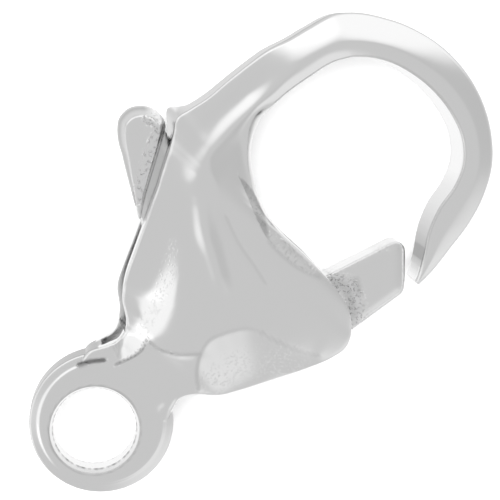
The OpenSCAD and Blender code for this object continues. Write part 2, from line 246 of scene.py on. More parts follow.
def corner_arc(before, at, after, radius):
    """The arc that rounds one corner, as CORNER_STEPS + 1 points from one edge to the other."""
    d1 = (before - at) / np.linalg.norm(before - at)
    d2 = (after - at) / np.linalg.norm(after - at)
    half = np.arccos(np.clip(d1 @ d2, -1, 1)) / 2
    room = EDGE_SHARE * min(np.linalg.norm(before - at), np.linalg.norm(after - at))
    reach = min(radius / np.tan(half), room)
    radius = reach * np.tan(half)
    middle = (d1 + d2) / np.linalg.norm(d1 + d2)
    centre = at + middle * radius / np.sin(half)
    start = at + d1 * reach - centre
    side = -1 if d1[0] * d2[1] - d1[1] * d2[0] > 0 else 1
    turn = side * (np.pi - 2 * half) * np.linspace(0, 1, CORNER_STEPS + 1)
    return centre + np.stack([
        start[0] * np.cos(turn) - start[1] * np.sin(turn),
        start[0] * np.sin(turn) + start[1] * np.cos(turn),
    ], 1)


def divided(outline, spacing):
    """An outline with more points along its long edges, its own points kept."""
    lengths = np.concatenate([[0], np.cumsum(np.linalg.norm(np.diff(outline, axis=0), axis=1))])
    keep = np.concatenate([[True], np.diff(lengths) > 1e-6])
    at = np.union1d(lengths[keep], np.arange(0, lengths[-1], spacing))
    at = at[np.concatenate([[True], np.diff(at) > spacing / 20])]
    return np.column_stack([np.interp(at, lengths[keep], outline[keep, k]) for k in (0, 1)])


def rounded(corners):
    """An outline whose corners are arcs of their own radius. Columns: x, y, radius."""
    corners = np.asarray(corners, float)
    parts = []
    for before, at, after in zip(np.roll(corners, 1, 0), corners, np.roll(corners, -1, 0)):
        arc = corner_arc(before[:2], at[:2], after[:2], at[2]) if at[2] > 0 else at[None, :2]
        parts.append(arc)
    return np.concatenate(parts)


def grid_faces(rows, columns):
    """Four-sided faces between rows of points, each row a closed loop, counted row by row."""
    i = np.arange(rows - 1)[:, None] * columns
    j = np.arange(columns)[None, :]
    right = (j + 1) % columns
    return np.stack([i + j, i + right, i + columns + right, i + columns + j], -1).reshape(-1, 4)


def mesh_piece(name, points, faces, caps=()):
    """A mesh object from points in millimetres, four-sided faces and end caps, facing outwards."""
    mesh = bpy.data.meshes.new(name)
    mesh.from_pydata((np.asarray(points) * MM).tolist(), [], faces.tolist() + [list(c) for c in caps])
    shape = bmesh.new()
    shape.from_mesh(mesh)
    bmesh.ops.recalc_face_normals(shape, faces=shape.faces)
    shape.to_mesh(mesh)
    shape.free()
    mesh.update()
    piece = bpy.data.objects.new(name, mesh)
    bpy.context.scene.collection.objects.link(piece)
    return piece


def loop_stack(name, loops):
    """A closed solid through loops of equal length, one face at each end."""
    loops = np.asarray(loops, float)
    rows, columns = loops.shape[:2]
    first = np.arange(columns)[::-1]
    last = (rows - 1) * columns + np.arange(columns)
    return mesh_piece(name, loops.reshape(-1, 3), grid_faces(rows, columns), [first, last])


def turned(name, profile, centre=(0, 0, 0)):
    """A profile of radius and height turned about Z: (r cos a, r sin a, z). It starts and ends
    on the axis or close by it, and one flat face closes each end."""
    radius, height = np.asarray(profile, float)[1:-1].T[:, :, None]
    angle = np.linspace(0, 2 * np.pi, ROUND_STEPS, endpoint=False)[None, :]
    loops = np.stack([radius * np.cos(angle), radius * np.sin(angle), height + 0 * angle], -1)
    return loop_stack(name, loops + np.asarray(centre, float))


def rod(name, radius, low, high):
    """A plain round rod about the pivot."""
    return turned(name, [[0, low], [radius, low], [radius, high], [0, high]], PIVOT)


def prism(name, outline, low, high):
    """An outline drawn up from one height to another."""
    outline = np.asarray(outline, float)
    loops = [np.column_stack([outline, np.full(len(outline), z)]) for z in (low, high)]
    return loop_stack(name, loops)


def combined(piece, steps):
    """The piece after exact boolean steps, each an operation and a tool that is used up."""
    for operation, tool in steps:
        step = piece.modifiers.new(operation.lower(), "BOOLEAN")
        step.operation = operation
        step.solver = "EXACT"
        step.object = tool
    bpy.context.view_layer.update()
    shaped = bpy.data.meshes.new_from_object(piece.evaluated_get(bpy.context.evaluated_depsgraph_get()))
    piece.modifiers.clear()
    piece.data = shaped
    for _, tool in steps:
        bpy.data.objects.remove(tool)
    return piece


def smooth_finish(piece, sharp_angle):
    """Smooth shading, with edges sharper than an angle in degrees kept crisp."""
    mesh = piece.data
    mesh.polygons.foreach_set("use_smooth", np.ones(len(mesh.polygons), bool))
    mesh.set_sharp_from_angle(angle=np.radians(sharp_angle))
    mesh.update()
    return piece


# Relief of the claw's faces

def along_route(x, y, route, samples=120):
    """Signed distance from a smooth route, left of it positive, and the share along it. The
    share is a mean over the route weighted by exp(-(distance - nearest) / blend), stretched
    so that it is 0 and 1 a little before the route's ends."""
    blend, end_share = 0.07, 0.05
    line = smooth_rows(route, np.linspace(0, len(route) - 1, samples))
    step = np.gradient(line, axis=0)
    step /= np.linalg.norm(step, axis=1, keepdims=True)
    dx = x[..., None] - line[:, 0]
    dy = y[..., None] - line[:, 1]
    away = np.hypot(dx, dy)
    nearest = np.argmin(away, axis=-1)
    pick = nearest[..., None]
    distance = np.take_along_axis(away, pick, -1)
    weight = np.exp(-(away - distance) / blend)
    share = weight @ np.linspace(0, 1, samples) / weight.sum(-1)
    direction = step[nearest]
    px, py = np.take_along_axis(dx, pick, -1)[..., 0], np.take_along_axis(dy, pick, -1)[..., 0]
    side = direction[..., 0] * py - direction[..., 1] * px
    share = np.clip((share - end_share) / (1 - 2 * end_share), 0, 1)
    return distance[..., 0] * np.where(side < 0, -1, 1), share


def at_share(share, values):
    """Evenly spaced values read at a share along their route."""
    return np.interp(share, np.linspace(0, 1, len(values)), values)


def swell(x, y, route, widths, heights):
    """A round ridge along a route: height times exp(-(distance / width)^2)."""
    distance, share = along_route(x, y, route)
    return at_share(share, heights) * np.exp(-(distance / at_share(share, widths)) ** 2)


def fold(x, y, route, widths, heights):
    """A ridge with a crisp line along its route: height times exp(-|distance| / width)."""
    distance, share = along_route(x, y, route)
    soft = 0.06
    softened = np.sqrt(distance ** 2 + soft ** 2) - soft
    return at_share(share, heights) * np.exp(-softened / at_share(share, widths))


def step_down(x, y, rows):
    """A step along a route: level on its right, falling on its left by the drop over the
    width, then level again. The ramp is a soft clip, s log(1 + exp(d / s)), at both ends."""
    rows = np.array(rows)
    distance, share = along_route(x, y, rows[:, :2])
    form = smooth_rows(rows[:, 2:], np.ravel(share) * (len(rows) - 1))
    width, drop, soft_top, soft_foot = form.T.reshape(4, *share.shape)
    top = soft_top * np.logaddexp(0, distance / soft_top)
    foot = soft_foot * np.logaddexp(0, (distance - width) / soft_foot)
    return -drop * np.clip((top - foot) / width, 0, 1)


# Routes of the relief on the faces, x and y in millimetres
MAIN_RIDGE = [
    (13.6, 3.75), (12.6, 3.80), (11.5, 3.83), (10.3, 3.89), (9.4, 3.83), (8.4, 3.64), (7.65, 3.26),
]
MAIN_RIDGE_WIDTHS = (0.20, 0.26, 0.36, 0.38, 0.44)
MAIN_RIDGE_HEIGHTS = (0.0, 0.025, 0.055, 0.085, 0.095, 0.08, 0.0)
ARM_GROOVE = [(12.9, 4.35), (12.1, 4.32), (11.3, 4.40), (10.4, 4.50), (9.6, 4.45), (9.3, 4.40)]
# Step from the neck along the belly. Columns: x, y, width, drop, softness of its top and foot
BACK_STEP = [
    [2.10, 1.30, 0.20, 0.00, 0.02, 0.03],
    [2.23, 1.06, 0.36, 0.16, 0.02, 0.03],
    [2.58, 0.97, 0.48, 0.26, 0.02, 0.03],
    [2.96, 0.91, 0.58, 0.28, 0.02, 0.03],
    [3.26, 0.89, 0.60, 0.26, 0.02, 0.04],
    [3.52, 0.95, 0.50, 0.20, 0.05, 0.08],
    [3.80, 1.00, 0.50, 0.24, 0.14, 0.14],
    [4.20, 1.06, 0.66, 0.36, 0.18, 0.20],
    [4.85, 1.28, 0.72, 0.40, 0.18, 0.22],
    [5.71, 1.82, 0.58, 0.26, 0.14, 0.20],
    [6.48, 2.46, 0.42, 0.12, 0.12, 0.18],
    [7.05, 2.98, 0.30, 0.03, 0.12, 0.16],
    [7.45, 3.36, 0.20, 0.00, 0.12, 0.16],
]
THIN_RIDGE = [(6.25, 0.15), (6.6, 0.70), (7.07, 1.55), (7.42, 2.24), (8.01, 2.99), (8.45, 3.50)]
GATE_VALLEY = [
    (8.40, 2.60), (8.25, 2.10), (7.92, 1.20), (7.75, 0.32), (7.59, -0.37), (7.35, -0.87), (6.85, -1.35),
]
BELLY_FOLD = [
    (3.45, -1.45), (3.85, -0.93), (4.40, -0.55), (4.95, -0.42), (5.40, -0.58), (5.80, -0.80),
    (6.12, -1.08), (6.33, -1.46), (6.48, -2.05), (6.67, -2.60), (6.86, -3.05), (7.10, -3.45),
]
BELLY_FOLD_HEIGHTS = (0.05, 0.08, 0.10, 0.11, 0.11, 0.11, 0.10, 0.09, 0.08, 0.08, 0.07, 0.05)
NECK_FOLD = [(3.40, 0.90), (3.46, 0.68), (3.60, 0.31), (3.92, -0.13), (4.40, -0.55)]
NECK_BUMP = [(2.10, -1.17), (2.22, -1.17)]


def relief(x, y):
    """Folds that are cast into each face of the claw, in millimetres above its plain form."""
    return (
        swell(x, y, MAIN_RIDGE, MAIN_RIDGE_WIDTHS, MAIN_RIDGE_HEIGHTS)
        + swell(x, y, ARM_GROOVE, (0.25, 0.35), (0.0, -0.06, -0.03, 0.0))
        + step_down(x, y, BACK_STEP)
        + swell(x, y, THIN_RIDGE, (0.26, 0.30, 0.26), (0.03, 0.09, 0.10, 0.085, 0.06, 0.0))
        + fold(x, y, GATE_VALLEY, (0.14, 0.14), (0.0, -0.02, -0.025, -0.02, 0.0))
        + fold(x, y, BELLY_FOLD, (0.40, 0.48, 0.42), BELLY_FOLD_HEIGHTS)
        + fold(x, y, NECK_FOLD, (0.12, 0.12), (0.0, -0.04, -0.05, -0.05, -0.02))
        + swell(x, y, NECK_BUMP, (0.22, 0.22), (0.050, 0.050))
    )


# The casting

def claw_rows():
    """Sections of the claw in millimetres. Columns: outer x, y, inner x, y, crest, outer edge,
    inner edge, crest place, outer power, inner power, outer rounding, inner rounding, spread
    of the back cheek, width and drop of the eye's bevel."""
    neck = place(NECK_ROWS)
    inner = place(np.array(NECK_ROWS)[:, 2:4])
    crest = (BAIL_THICKNESS + (NECK_THICKNESS - BAIL_THICKNESS) * neck[:, 4]) / 2
    fall = np.tile(NECK_FALL, (len(neck), 1))
    neck_part = np.column_stack([
        neck[:, :2], inner, crest, crest * neck[:, 5], crest * neck[:, 6], neck[:, 7], fall, neck[:, 8:11],
        np.zeros((len(neck), 2))
    ])
    belly = place(BELLY_ROWS)
    inner = place(np.array(BELLY_ROWS)[:, 2:4])
    fall = np.column_stack([np.full(len(belly), BELLY_OUTER_FALL), belly[:, 8]])
    belly_part = np.column_stack([
        belly[:, :2], inner, belly[:, 4] * BELLY_THICKNESS / 2, SLOT_HALF + belly[:, 5] * RIM_WALL,
        SLOT_HALF + belly[:, 6] * RIM_WALL, belly[:, 7], fall, belly[:, 9:14]
    ])
    hook = place(HOOK_ROWS)
    outer = hook[:, :2]
    along = np.concatenate([outer[1:2] - outer[0:1], outer[2:] - outer[:-2], outer[-1:] - outer[-2:-1]])
    along /= np.linalg.norm(along, axis=1, keepdims=True)
    inward = np.column_stack([along[:, 1], -along[:, 0]])
    inner = outer + inward * hook[:, 2:3] * HOOK_ARM
    crest = hook[:, 3] * HOOK_THICKNESS / 2
    fall = np.tile(HOOK_FALL, (len(hook), 1))
    hook_part = np.column_stack([
        outer, inner, crest, crest * hook[:, 4], crest * hook[:, 5], hook[:, 6], fall, hook[:, 7:9],
        np.zeros((len(hook), 3))
    ])
    return np.concatenate([neck_part, belly_part, hook_part])


def face_height(s, across):
    """Height of a face above the mid plane. From the crest it falls to each edge as
    1 - a^power, where a runs from 0 at the crest to 1 at the edge."""
    crest_place = s[:, 7:8]
    to_outer = np.clip((crest_place - across) / crest_place, 0, 1)
    to_inner = np.clip((across - crest_place) / (1 - crest_place), 0, 1)
    crest, outer_edge, inner_edge = s[:, 4:5], s[:, 5:6], s[:, 6:7]
    return np.where(
        across < crest_place,
        crest + (outer_edge - crest) * to_outer ** s[:, 8:9],
        crest + (inner_edge - crest) * to_inner ** s[:, 9:10],
    )


def round_off(distance, radius):
    """How far a rounded edge falls below its face at a distance from the wall: a quarter circle."""
    inside = np.clip(radius - distance, 0, radius)
    return radius - np.sqrt(radius ** 2 - inside ** 2)


def claw_loops():
    """Closed loops round the claw: the front face from outer to inner edge, then the back one."""
    rows = claw_rows()
    s = smooth_rows(rows, np.linspace(0, len(rows) - 1, (len(rows) - 1) * STEPS_PER_ROW + 1))
    span = s[:, 2:4] - s[:, 0:2]
    width = np.linalg.norm(span, axis=1)[:, None]
    outer_round = np.minimum(s[:, 10:11], 0.45 * width)
    inner_round = np.minimum(s[:, 11:12], 0.45 * width)
    quarter = 1 - np.cos(np.linspace(0, np.pi / 2, EDGE_STEPS + 1))[None, :]
    middle = np.linspace(0, 1, FACE_STEPS + 1)[None, 1:-1]
    near = outer_round * quarter
    far = width - inner_round * quarter[:, ::-1]
    between = outer_round + (width - inner_round - outer_round) * middle
    distance = np.concatenate([near, between, far], 1)
    across = distance / width
    x = s[:, 0:1] + span[:, 0:1] * across
    y = s[:, 1:2] + span[:, 1:2] * across
    z = face_height(s, across) + relief(x, y)
    z = z - round_off(distance, outer_round) - round_off(width - distance, inner_round)
    bevel = np.maximum(s[:, 13:14], 0.01)
    z = z - s[:, 14:15] * np.clip(1 - (width - distance) / bevel, 0, 1)
    front = np.stack([x, y, z], -1)
    out = s[:, 12:13] * (1 - across) ** 3
    back = np.stack([x - span[:, 0:1] * out, y - span[:, 1:2] * out, -z], -1)
    down = (1 - np.cos(np.linspace(0, np.pi, WALL_STEPS + 2)))[None, 1:-1, None] / 2
    inner_wall = back[:, -1:] + (front[:, -1:] - back[:, -1:]) * down
    outer_wall = front[:, :1] + (back[:, :1] - front[:, :1]) * down
    return np.concatenate([back, inner_wall, front[:, ::-1], outer_wall], 1)


def bail_ring():
    """A flat ring with bevelled, softened outer edges, before its hole is drilled."""
    half = BAIL_THICKNESS / 2
    step_width, step_drop, edge_drop, thin = 0.07, 0.045, 0.10, 0.001
    upper = [
        [BAIL_OUTER, half - edge_drop, 0.07],
        [BAIL_OUTER - BAIL_BEVEL + step_width, half - step_drop, 0.05],
        [BAIL_OUTER - BAIL_BEVEL, half, 0.04],
        [thin, half, 0],
    ]
    lower = [[radius, -height, soft] for radius, height, soft in upper[::-1]]
    profile = divided(rounded(lower + upper), 0.07)
    return turned("ring_blank", profile, (BAIL_OFFSET, 0, 0))


def bail_drill():
    """The hole through the ring, flared to a soft lip at both mouths."""
    half = BAIL_THICKNESS / 2
    flare, thin = 0.30, 0.001
    upper = [
        [BAIL_BORE, half - BAIL_LIP_DEPTH, 0.10],
        [BAIL_BORE + BAIL_LIP, half, 0.03],
        [BAIL_BORE + BAIL_LIP + flare, half + flare, 0],
        [thin, half + flare, 0],
    ]
    lower = [[radius, -height, soft] for radius, height, soft in upper[::-1]]
    profile = divided(rounded(lower + upper), 0.05)
    return turned("ring_drill", profile)


def casting():
    """The claw, its neck and its ring as one solid, with the lever's pocket cut out."""
    piece = loop_stack("clasp_casting", claw_loops())
    pocket = prism("pocket_tool", rounded(place(POCKET_CORNERS)), -SLOT_HALF, SLOT_HALF)
    run_out = prism("run_out_tool", rounded(place(RUN_OUT_CORNERS)), -RUN_OUT_HALF, RUN_OUT_HALF)
    pin_top = pivot_height() - PIN_COVER + PIN_SEAT
    pin_hole = rod("pin_tool", PIN_R + PIN_SEAT, -BELLY_THICKNESS, pin_top)
    return combined(piece, [
        ("UNION", bail_ring()), ("DIFFERENCE", bail_drill()), ("DIFFERENCE", pocket),
        ("DIFFERENCE", run_out), ("DIFFERENCE", pin_hole)
    ])


def pivot_height():
    """Height of the plain face over the pin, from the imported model's own pin and cover."""
    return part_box("pivot_pin")[1].z / MM + PIN_COVER


# The lever

def lever_outline():
    """The lever's flat outline: the tab's root, the arm, the gate and the boss's side."""
    rows = claw_rows()
    tip, root = rows[-1, 2:4], rows[-3, 2:4]
    along = (root - tip) / np.linalg.norm(root - tip)
    out = np.array([-along[1], along[0]])
    gate_end = [
        [*(tip + along * GATE_END_LENGTH + out * (GATE_GAP + GATE_SPREAD)), GATE_CORNERS[0]],
        [*(tip + along * GATE_END_START + out * GATE_GAP), GATE_CORNERS[1]],
        [GATE_BOTTOM_END[0] * CLAW_LENGTH, GATE_BOTTOM_END[1] * CLAW_WIDTH, GATE_CORNERS[2]],
    ]
    return rounded(np.concatenate([place(PLATE_BY_EYE), gate_end, place(PLATE_BY_BELLY)]))


def resampled(outline, spacing):
    """A closed outline with points at an even spacing."""
    closed = np.concatenate([outline, outline[:1]])
    lengths = np.concatenate([[0], np.cumsum(np.linalg.norm(np.diff(closed, axis=0), axis=1))])
    keep = np.concatenate([[True], np.diff(lengths) > 1e-6])
    at = np.linspace(0, lengths[-1], int(lengths[-1] / spacing), endpoint=False)
    return np.column_stack([np.interp(at, lengths[keep], closed[keep, k]) for k in (0, 1)])


def clockwise(outline):
    """Whether a closed outline runs clockwise: the sign of its area."""
    x, y = outline[:, 0], outline[:, 1]
    return np.sum(x * np.roll(y, -1) - np.roll(x, -1) * y) < 0


def inset(outline, depth):
    """The outline moved inwards by a depth, along the mean normal of each point's neighbours."""
    along = np.roll(outline, -1, 0) - np.roll(outline, 1, 0)
    along /= np.linalg.norm(along, axis=1, keepdims=True)
    normal = np.column_stack([-along[:, 1], along[:, 0]])
    return outline + normal * (-depth if clockwise(outline) else depth)


def cross_cut(piece, low, high, spacing):
    """The piece with its flat faces cut along evenly spaced planes across X and across Y."""
    shape = bmesh.new()
    shape.from_mesh(piece.data)
    for axis in (0, 1):
        across = Vector((axis == 0, axis == 1, 0))
        for at in np.arange(low[axis], high[axis], spacing):
            flat = [face for face in shape.faces if abs(face.normal.z) > 0.99]
            parts = {part for face in flat for part in (*face.verts, *face.edges)}
            cut_at = across * at * MM
            bmesh.ops.bisect_plane(shape, geom=flat + list(parts), plane_co=cut_at, plane_no=across)
    shape.to_mesh(piece.data)
    shape.free()
    return piece


def pillow(piece, outline, half):
    """The gate's faces sink towards its edge, by sink exp(-(distance / reach)^2)."""
    sink, reach = 0.05, 0.22
    gate_start, fade_in, gate_top = 8.6, 0.4, -1.5
    mesh = piece.data
    points = np.empty(len(mesh.vertices) * 3)
    mesh.vertices.foreach_get("co", points)
    points = points.reshape(-1, 3)
    on_face = np.abs(np.abs(points[:, 2]) / MM - half) < 0.001
    near = np.full(len(points), np.inf)
    for spot in outline:
        near = np.minimum(near, np.hypot(points[:, 0] / MM - spot[0], points[:, 1] / MM - spot[1]))
    on_gate = np.clip((points[:, 0] / MM - gate_start) / fade_in, 0, 1) * (points[:, 1] < gate_top * MM)
    drop = sink * np.exp(-(near / reach) ** 2) * on_gate * on_face
    points[:, 2] -= np.sign(points[:, 2]) * drop * MM
    mesh.vertices.foreach_set("co", points.ravel())
    mesh.update()
    return piece


# Box of the gate in the plan, and how finely the plate is drawn
GATE_LOW = (8.4, -4.6)
GATE_HIGH = (12.6, -1.6)
GATE_PITCH = 0.07
OUTLINE_PITCH = 0.05


def lever_plate():
    """The arm and gate: one outline through the thickness, drawn in at both faces so that
    its edge is round: inset = r (1 - cos a), height = half - r (1 - sin a)."""
    outline = resampled(lever_outline(), OUTLINE_PITCH)
    half, edge = LEVER_THICKNESS / 2, 0.10
    turn = np.linspace(0, np.pi / 2, 7)
    insets = edge * (1 - np.cos(turn))
    heights = half - edge * (1 - np.sin(turn))
    levels = [(i, z) for i, z in zip(insets[::-1], -heights[::-1])] + list(zip(insets, heights))
    loops = [np.column_stack([inset(outline, i), np.full(len(outline), z)]) for i, z in levels]
    if clockwise(outline):
        loops = [loop[::-1] for loop in loops]
    plate = cross_cut(loop_stack("clasp_lever", loops), GATE_LOW, GATE_HIGH, GATE_PITCH)
    return pillow(plate, outline, half)


# Outline of the tab. Columns: share of its length, share of its stand
TAB_ROWS = [
    [-0.04, 0.00], [0.06, 0.16], [0.16, 0.30], [0.26, 0.44], [0.37, 0.59], [0.47, 0.72],
    [0.55, 0.84], [0.63, 0.93], [0.70, 0.98], [0.77, 1.00], [0.84, 0.95], [0.90, 0.85],
    [0.94, 0.70], [0.96, 0.52], [0.955, 0.34], [0.92, 0.17], [0.84, 0.03], [0.66, 0.00],
    [0.44, 0.00], [0.22, 0.00],
]
TAB_FOOT_ROW = 7.95
TAB_HEAD_ROW = 15.6
TAB_STEPS = 260
TAB_LEVELS = 16
TAB_WALL_TOP = 0.94
# The tab's face from its edge to its spine: how far it shrinks, and its height as a share
TAB_FACE = ((0.07, 0.985), (0.10, 0.99), (0.25, 0.995), (0.5, 1.0), (0.75, 1.0), (0.97, 1.0))


def thumb_tab():
    """The teardrop tab: its outline carried through the thickness and in over each face. The
    side wall bulges out between the faces as 1 - bulge |level|^3. Over a face the outline
    shrinks towards a spine from the foot to the head's middle, and the face rises a little:
    a narrow facet at its edge, then a low pillow."""
    rows = claw_rows()
    foot, head = smooth_rows(rows, np.array([TAB_FOOT_ROW, TAB_HEAD_ROW]))[:, :2]
    along = (head - foot) / np.linalg.norm(head - foot)
    out = np.array([-along[1], along[0]])
    ring = np.array(TAB_ROWS + TAB_ROWS[:3])
    outline = smooth_rows(ring, np.linspace(1, len(TAB_ROWS) + 1, TAB_STEPS, endpoint=False))
    outline[:, 1] = np.maximum(outline[:, 1], 0)
    outline *= [TAB_LENGTH, TAB_STAND]
    spine_foot, spine_head = np.array([0.16, 0.10]), np.array([2.55, 0.78])
    run = spine_head - spine_foot
    share = np.clip((outline - spine_foot) @ run / (run @ run), 0, 1)[:, None]
    spine = spine_foot + run * share
    half, bulge, cheek_slope = TAB_THICKNESS / 2, 0.27, 0.15
    by_cheek = np.clip(1 - outline[:, 1:2] / 0.25, 0, 1) * np.clip(outline[:, 0:1] / 0.8, 0, 1)
    loops = []
    for level in np.linspace(0, TAB_WALL_TOP, TAB_LEVELS):
        slope = np.clip((level - 0.35) / 0.59, 0, 1)
        shape = spine + (outline - spine) * (1 - bulge * (1 - by_cheek) * (level / TAB_WALL_TOP) ** 3)
        loops.append((shape + by_cheek * slope * [0, cheek_slope], level * half))
    edge = loops[-1][0]
    for shrink, level in TAB_FACE:
        loops.append((edge + (spine - edge) * shrink, level * half))
    loops = [(shape, -z) for shape, z in loops[:0:-1]] + loops
    stack = []
    for shape, z in loops:
        plan = foot + shape[:, :1] * along + (TAB_PLAY + shape[:, 1:]) * out
        stack.append(np.column_stack([plan, np.full(len(plan), z)]))
    return loop_stack("tab_blank", stack)


def lever():
    """The plate, the boss and the tab as one solid, bored for the pin."""
    half = LEVER_THICKNESS / 2
    past = half + 1
    boss = rod("boss_blank", BOSS_R, -half, half)
    bore = rod("bore_tool", PIN_R + PIN_PLAY, -past, past)
    return combined(lever_plate(), [("UNION", boss), ("UNION", thumb_tab()), ("DIFFERENCE", bore)])


def pivot_pin():
    """A plain pin with softened ends, turned about the pivot."""
    low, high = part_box("pivot_pin")
    profile = rounded([
        [0, low.z / MM, 0], [PIN_R, low.z / MM, 0.08], [PIN_R, high.z / MM, 0.08], [0, high.z / MM, 0]
    ])
    return turned("clasp_pin", profile, PIVOT * [1, 1, 0])


# Cast pits, and places painted darker: mostly painted shade, with a few cast flaws. Each is a route, its
# half width and how strong it is.

PITTED = [
    ([(3.70, 1.30), (4.10, 1.45), (4.70, 1.65), (5.60, 2.15), (6.40, 2.70)], 0.26, 0.25),
    ([(2.10, 1.10), (2.67, 0.93), (3.10, 0.88), (3.45, 1.00)], 0.08, 1.0),
    ([(3.52, 0.98), (3.50, 0.68), (3.62, 0.31), (3.92, -0.13)], 0.07, 0.6),
    ([(3.75, -1.75), (4.50, -1.75), (5.30, -2.05), (6.30, -2.95)], 0.60, 0.42),
    ([(1.22, 1.96), (1.59, 1.76), (1.97, 1.47)], 0.10, 1.0),
]
# Darker bands. The first runs along the foot of the step by the neck; the second is the ring's row of cast
# pits, a real flaw; the rest are painted shade in the neck's creases, the belly's fold and the gate's
# valley.
CREASE_SHADE_AND_FLAW = [
    ([(2.15, 1.08), (2.67, 0.91), (3.10, 0.86), (3.47, 0.99)], 0.06, 0.45),
    ([(1.26, 1.94), (1.59, 1.76), (1.95, 1.48)], 0.085, 0.92),
    ([(3.55, 0.98), (3.50, 0.68), (3.62, 0.31), (3.92, -0.13), (4.40, -0.55)], 0.07, 0.22),
    (BELLY_FOLD[2:8], 0.07, 0.10),
    (BELLY_FOLD[7:], 0.07, 0.16),
    ([(3.48, -1.41), (3.87, -0.93), (4.40, -0.55)], 0.07, 0.16),
    ([(8.25, 2.10), (7.92, 1.20), (7.75, 0.32), (7.59, -0.37)], 0.06, 0.09),
]
CHEEK_CORNER = [(8.70, 5.15), (9.05, 5.40), (9.30, 5.52)]
EYE_BAND = [
    (9.52, 2.86), (9.30, 2.28), (8.83, 1.15), (8.67, 0.57), (8.62, 0.10), (8.66, -0.59),
    (8.79, -1.10), (9.07, -1.76),
]
LEVER_PITTED = [
    ([(8.70, 6.05), (8.88, 5.80), (8.60, 5.52), (8.02, 5.30), (7.32, 4.92), (6.66, 4.46)], 0.21, 1.0),
    ([(9.10, -2.15), (9.45, -2.75), (9.10, -3.45), (8.70, -3.75)], 0.38, 0.8),
    ([(11.0, -2.35), (11.3, -2.70)], 0.22, 0.5),
]
# Darker bands on the lever: the first is painted shade along the tab's side where it dips into the slot by
# the cheek; the others darken the gate's root.
LEVER_SHADE_AND_DULL = [
    ([(8.95, 5.30), (8.34, 4.98), (7.60, 4.55), (6.85, 4.12)], 0.22, 0.28),
    ([(9.10, -2.15), (9.30, -2.70), (8.85, -3.50)], 0.18, 0.22),
    ([(9.75, -2.75), (9.55, -3.10)], 0.14, 0.18),
]


def strongest(x, y, places):
    """The strongest of several bands with soft borders: strength times exp(-(distance / width)^4)."""
    found = np.zeros(len(x))
    for route, width, strength in places:
        distance, _ = along_route(x, y, route, 60)
        found = np.maximum(found, strength * np.exp(-(distance / width) ** 4))
    return found


def nearest_rail(points, first, columns):
    """Distance in the plan from the claw's outer (first = 0) or inner (first = 2) rail, and
    other columns of the claw's rows at the nearest place."""
    rows = claw_rows()
    along = smooth_rows(rows, np.linspace(0, len(rows) - 1, 500))
    near, values = np.full(len(points), np.inf), np.zeros((len(points), len(columns)))
    for place_on_rail in along:
        away = np.hypot(points[:, 0] - place_on_rail[first], points[:, 1] - place_on_rail[first + 1])
        closer = away < near
        near[closer] = away[closer]
        values[closer] = place_on_rail[columns]
    return near, values


def steepness(normals):
    """1 on walls and 0 on faces, from how far a normal leans from the vertical."""
    return np.clip(1.5 - 2.2 * np.abs(normals[:, 2]), 0, 1)


def outer_wall(points, normals):
    """1 on the outer walls of the arm, the hook and the ring, 0 on faces and the eye's walls; these walls
    are painted darker, a painted shade in place of a greyer reflection.
    """
    ring_end, arm_start, arm_fade = 2.2, 9.2, 0.3
    near, _ = nearest_rail(points, 0, [0])
    radius = np.hypot(points[:, 0] - BAIL_OFFSET, points[:, 1])
    on_ring = (np.abs(radius - BAIL_OUTER) < 0.2) * (points[:, 0] < ring_end)
    beside = np.clip(1.6 - near / 0.10, 0, 1)
    on_arm = np.clip((points[:, 0] - arm_start) / arm_fade, 0, 1)
    return np.maximum(beside * on_arm, on_ring) * steepness(normals)


def cheek_corner(points, normals):
    """Painted shade on the walls of the cheeks' end, which stand in the tab's shade."""
    reach, border, strength = 0.30, 0.12, 0.70
    away, _ = along_route(points[:, 0], points[:, 1], CHEEK_CORNER, 60)
    return strength * np.clip((reach - np.abs(away)) / border, 0, 1) * steepness(normals)


def inside_slot(points):
    """Painted shade in the slot between the cheeks, strong near its mouth and in its shallow end, faint
    further in.
    """
    start, dark_end, run_out_end, end, depth = 1.95, 2.45, 3.12, 9.3, 1.6
    near, _ = nearest_rail(points, 0, [0])
    x = points[:, 0]
    half = np.where(x < run_out_end, RUN_OUT_HALF, SLOT_HALF) + 0.005
    low = np.abs(points[:, 2]) < half
    strength = np.where(x < dark_end, 0.7, 0.05)
    return strength * low * (x > start) * (x < end) * (near < depth)


def eye_wall(points):
    """Thin dark lines along both edges of the eye's wall on the hook, and the wall's end at the nose
    painted dark, a painted reflection of the gate's dark end."""
    wall_start, wall_fade, nose_start, nose_top = 11.2, 0.6, 10.5, -2.6
    near, at_rail = nearest_rail(points, 2, [6, 2, 3])
    edge_height, x, y = at_rail.T
    below = edge_height - np.abs(points[:, 2])
    on_wall = (near < 0.09) * np.clip((x - wall_start) / wall_fade, 0, 1)
    nose = np.clip(nose_top - y, 0, 1) * (x > nose_start)
    line = np.exp(-((below - 0.05) / 0.06) ** 2) * (0.35 + 0.4 * nose)
    return on_wall * np.maximum(line, 0.85 * nose * (below > 0.10))


def eye_band(points):
    """The rough band along the eye: how pitted, and how much darker its colour is painted. It starts
    crisply at its border and is as wide as a half sine of the share along it; its upper end is a narrow
    pitted lens painted darker as shade, and a faint darker line runs along its border past the lens."""
    distance, share = along_route(points[:, 0], points[:, 1], EYE_BAND)
    lens_width, lens_end, band_width, band_start = 0.30, 0.42, 0.46, 0.30
    lens = lens_width * np.sin(np.pi * np.clip(share / lens_end, 0, 1))
    band = band_width * np.sin(np.pi * np.clip((share - band_start) / (1 - band_start), 0, 1)) ** 0.7
    border = np.clip(0.5 + distance / 0.05, 0, 1)
    in_lens = border * np.clip(0.5 + (lens - distance) / 0.05, 0, 1) * (share > 0) * (share < lens_end)
    in_band = border * np.clip(0.5 + (band - distance) / 0.10, 0, 1) * (share < 1) * (points[:, 2] > 0.6)
    edge = np.exp(-(distance / 0.07) ** 2) * (share > lens_end) * (share < 1)
    return np.maximum(in_lens, in_band), np.maximum(in_lens * 0.42, edge * 0.16)


